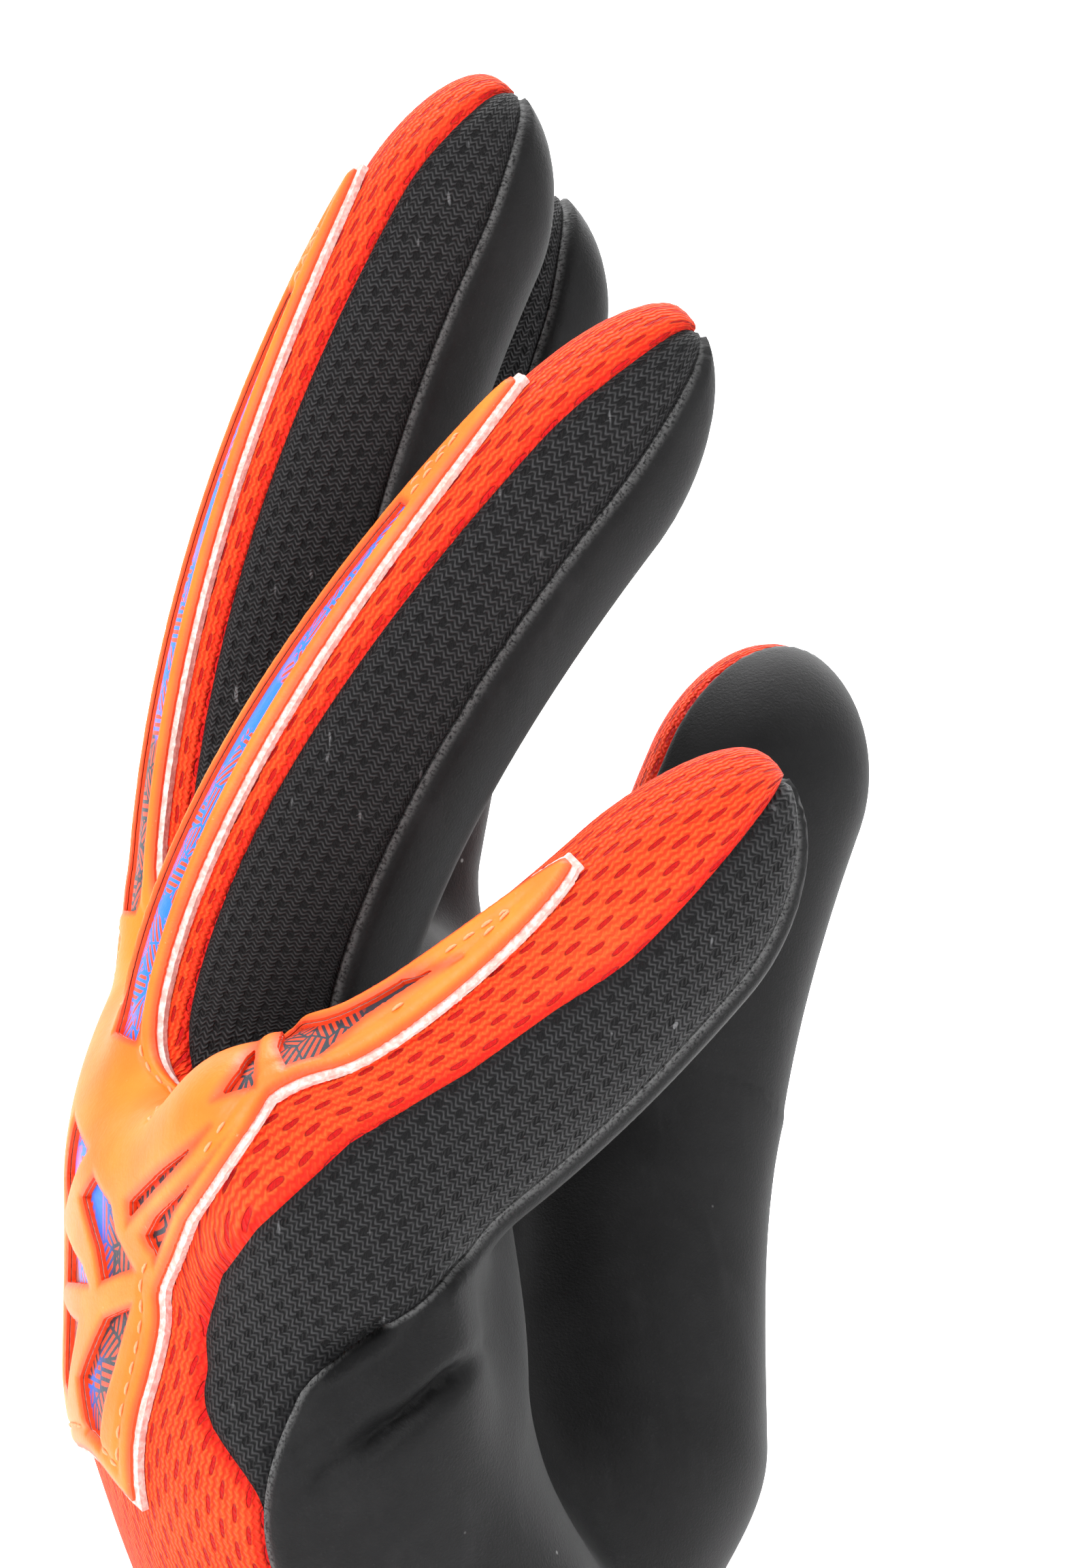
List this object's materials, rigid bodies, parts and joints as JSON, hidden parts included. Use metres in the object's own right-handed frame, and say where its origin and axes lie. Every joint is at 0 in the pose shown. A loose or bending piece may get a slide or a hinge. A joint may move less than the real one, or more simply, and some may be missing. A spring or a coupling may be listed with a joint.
{
  "type": "goalkeeper glove",
  "caption": "Right-hand goalkeeper glove with latex palm, mesh back, rubber overlay, jointed finger stalls and a hook-and-loop wrist strap.",
  "frame": {"origin": "centre of the oval opening at the lower end of the cuff", "axes": "+Z from the cuff towards the fingertips, +X out of the palm, -X out of the back of the hand, +Y towards the thumb side"},
  "size_m": [0.0961, 0.1086, 0.2537],
  "materials": {
    "spacer_mesh": "warp-knit spacer mesh with rows of small eyelets",
    "gusset_knit": "ribbed knit, matt",
    "latex_foam": "fine-pored latex foam, soft sheen",
    "overlay_rubber": "moulded rubber, satin",
    "printed_film": "printed film, satin",
    "padding_foam": "open foam with cloth backing",
    "cuff_elastic": "ribbed elastic bandage",
    "binding_tape": "woven tape",
    "strap_webbing": "woven strap with latex facing",
    "loop_fastener": "brushed loop pile",
    "hook_fastener": "moulded hooks"
  },
  "bodies": {
    "hand": {"palm_latex": "latex_foam", "back_mesh": "spacer_mesh", "ulnar_gusset": "gusset_knit", "radial_gusset": "gusset_knit", "thenar_latex": "latex_foam", "thenar_mesh": "spacer_mesh", "thenar_heel": "latex_foam", "little_ring_web": "gusset_knit", "ring_middle_web": "gusset_knit", "middle_index_web": "gusset_knit", "back_overlay": "overlay_rubber", "back_print": "printed_film", "back_padding": "padding_foam", "cuff_bandage": "cuff_elastic", "cuff_hem": "binding_tape", "loop_pad": "loop_fastener", "wrist_strap": "strap_webbing", "pull_on_loop": "binding_tape"},
    "little_base": {"little_base_back": "spacer_mesh", "little_base_gussets": "gusset_knit", "little_base_latex": "latex_foam", "little_base_overlay": "overlay_rubber"},
    "little_tip": {"little_tip_back": "spacer_mesh", "little_tip_gussets": "gusset_knit", "little_tip_latex": "latex_foam", "little_tip_overlay": "overlay_rubber"},
    "ring_base": {"ring_base_back": "spacer_mesh", "ring_base_gussets": "gusset_knit", "ring_base_latex": "latex_foam", "ring_base_overlay": "overlay_rubber"},
    "ring_tip": {"ring_tip_back": "spacer_mesh", "ring_tip_gussets": "gusset_knit", "ring_tip_latex": "latex_foam", "ring_tip_overlay": "overlay_rubber"},
    "middle_base": {"middle_base_back": "spacer_mesh", "middle_base_gussets": "gusset_knit", "middle_base_latex": "latex_foam", "middle_base_overlay": "overlay_rubber"},
    "middle_tip": {"middle_tip_back": "spacer_mesh", "middle_tip_gussets": "gusset_knit", "middle_tip_latex": "latex_foam", "middle_tip_overlay": "overlay_rubber"},
    "index_base": {"index_base_back": "spacer_mesh", "index_base_gussets": "gusset_knit", "index_base_latex": "latex_foam", "index_base_overlay": "overlay_rubber"},
    "index_tip": {"index_tip_back": "spacer_mesh", "index_tip_gussets": "gusset_knit", "index_tip_latex": "latex_foam", "index_tip_overlay": "overlay_rubber"},
    "thumb_base": {"thumb_base_back": "spacer_mesh", "thumb_base_gussets": "spacer_mesh", "thumb_base_latex": "latex_foam"},
    "thumb_tip": {"thumb_tip_back": "spacer_mesh", "thumb_tip_gussets": "spacer_mesh", "thumb_tip_latex": "latex_foam"},
    "strap": {"strap_flap": "strap_webbing", "strap_hook_pad": "hook_fastener", "strap_pull_tab": "overlay_rubber"}
  },
  "joints": [
    {"name": "little_root", "type": "hinge", "parent": "hand", "child": "little_base", "pos_m": [-0.012, -0.039, 0.117], "axis": [0, 1, 0], "range_deg": [-30, 15]},
    {"name": "little_mid", "type": "hinge", "parent": "little_base", "child": "little_tip", "pos_m": [0.0081, -0.039, 0.13025], "axis": [0, 1, 0], "range_deg": [-20, 35]},
    {"name": "ring_root", "type": "hinge", "parent": "hand", "child": "ring_base", "pos_m": [-0.0185, -0.013, 0.133], "axis": [0, 1, 0], "range_deg": [-15, 25]},
    {"name": "ring_mid", "type": "hinge", "parent": "ring_base", "child": "ring_tip", "pos_m": [-0.00773, -0.013, 0.1606], "axis": [0, 1, 0], "range_deg": [-20, 35]},
    {"name": "middle_root", "type": "hinge", "parent": "hand", "child": "middle_base", "pos_m": [-0.0205, 0.012, 0.148], "axis": [0, 1, 0], "range_deg": [-10, 25]},
    {"name": "middle_mid", "type": "hinge", "parent": "middle_base", "child": "middle_tip", "pos_m": [-0.01442, 0.012, 0.18568], "axis": [0, 1, 0], "range_deg": [-15, 30]},
    {"name": "index_root", "type": "hinge", "parent": "hand", "child": "index_base", "pos_m": [-0.011, 0.0375, 0.147], "axis": [0, 1, 0], "range_deg": [-15, 15]},
    {"name": "index_mid", "type": "hinge", "parent": "index_base", "child": "index_tip", "pos_m": [-0.003, 0.0375, 0.1826], "axis": [0, 1, 0], "range_deg": [-15, 20]},
    {"name": "thumb_root", "type": "hinge", "parent": "hand", "child": "thumb_base", "pos_m": [0.0285, 0.038, 0.122], "axis": [0.9237, 0.3101, -0.2249], "range_deg": [-15, 15]},
    {"name": "thumb_mid", "type": "hinge", "parent": "thumb_base", "child": "thumb_tip", "pos_m": [0.0337, 0.0412, 0.14226], "axis": [0.8982, 0.2901, -0.3302], "range_deg": [-15, 20]},
    {"name": "strap_opening", "type": "hinge", "parent": "hand", "child": "strap", "pos_m": [-0.013, 0.0371, 0.032], "axis": [0, 0, -1], "range_deg": [0, 110]}
  ]
}
